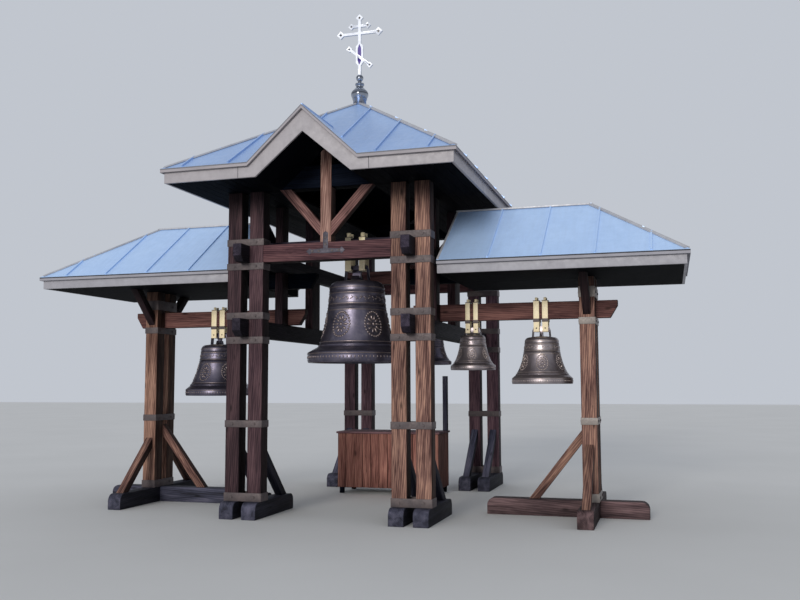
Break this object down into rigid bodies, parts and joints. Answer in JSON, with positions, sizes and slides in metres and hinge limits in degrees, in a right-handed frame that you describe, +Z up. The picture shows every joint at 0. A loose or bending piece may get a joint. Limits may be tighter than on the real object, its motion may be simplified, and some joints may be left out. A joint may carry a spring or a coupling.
{
  "type": "wooden bell tower",
  "caption": "Open timber belfry on four paired-post pillars: hipped metal roof with gablets, onion finial and cross, two low side wings, hung bells and a plank stand.",
  "frame": {"origin": "on the ground, in the middle of the plan", "axes": "+X along the wings to the right, +Y from the front to the rear, +Z up"},
  "size_m": [8.358, 5.938, 6.646],
  "materials": {
    "beam_timber": "darker red-brown stained beams, matt",
    "bell_bronze": "dark patinated cast bronze, semi-gloss",
    "clapper_iron": "dark forged iron, matt",
    "dark_boards": "dark stained boards, matt",
    "fascia_paint": "beige-grey painted boards, matt",
    "gilt_straps": "pale gold painted steel straps, semi-gloss",
    "polished_metal": "bright polished metal",
    "roof_metal": "pale grey-blue coated sheet with standing seams, satin",
    "stained_timber": "reddish brown stained squared timber, matt, with strong grain",
    "stand_boards": "orange-brown stained planks, satin",
    "strap_iron": "dark grey painted strap iron, matt",
    "white_enamel": "white and silver with a violet-blue inlay, glossy"
  },
  "bodies": {
    "root": {"bell_clappers": "clapper_iron", "big_bell": "bell_bronze", "big_bell_beam": "beam_timber", "big_bell_hangers": "gilt_straps", "cross": "white_enamel", "front_and_rear_fascias": "fascia_paint", "front_and_rear_plates": "beam_timber", "front_left_pillar": "stained_timber", "front_pillar_straps": "strap_iron", "front_right_pillar": "stained_timber", "gablet_ceilings": "dark_boards", "gablet_ridge_beams": "beam_timber", "king_posts": "stained_timber", "left_bell": "bell_bronze", "left_wing_fascia": "fascia_paint", "left_wing_roof_metal": "roof_metal", "lower_side_beams": "beam_timber", "medium_right_bell": "bell_bronze", "onion_finial": "polished_metal", "raking_struts": "stained_timber", "rear_bell": "bell_bronze", "rear_bell_beam": "beam_timber", "rear_bell_hangers": "gilt_straps", "rear_left_pillar": "stained_timber", "rear_pillar_straps": "strap_iron", "rear_right_pillar": "stained_timber", "right_wing_fascia": "fascia_paint", "right_wing_roof_metal": "roof_metal", "rope_mast": "dark_boards", "side_fascias": "fascia_paint", "side_frame_studs": "stained_timber", "side_plates": "beam_timber", "small_right_bell": "bell_bronze", "stand_frame": "dark_boards", "stand_planks": "stand_boards", "stand_top": "dark_boards", "tee_straps": "strap_iron", "tie_beams": "beam_timber", "tower_foot_braces": "stained_timber", "tower_rafters": "beam_timber", "tower_roof_deck": "dark_boards", "tower_roof_metal": "roof_metal", "tower_soffit": "dark_boards", "tower_sole_beams": "stained_timber", "upper_side_beams": "beam_timber", "wing_bell_beams": "beam_timber", "wing_bell_hangers": "gilt_straps", "wing_foot_braces": "stained_timber", "wing_gable_boards": "fascia_paint", "wing_knee_braces": "stained_timber", "wing_post_straps": "strap_iron", "wing_posts": "stained_timber", "wing_roof_beams": "beam_timber", "wing_roof_decks": "dark_boards", "wing_soffits": "dark_boards", "wing_sole_beams": "stained_timber"}
  },
  "joints": []
}
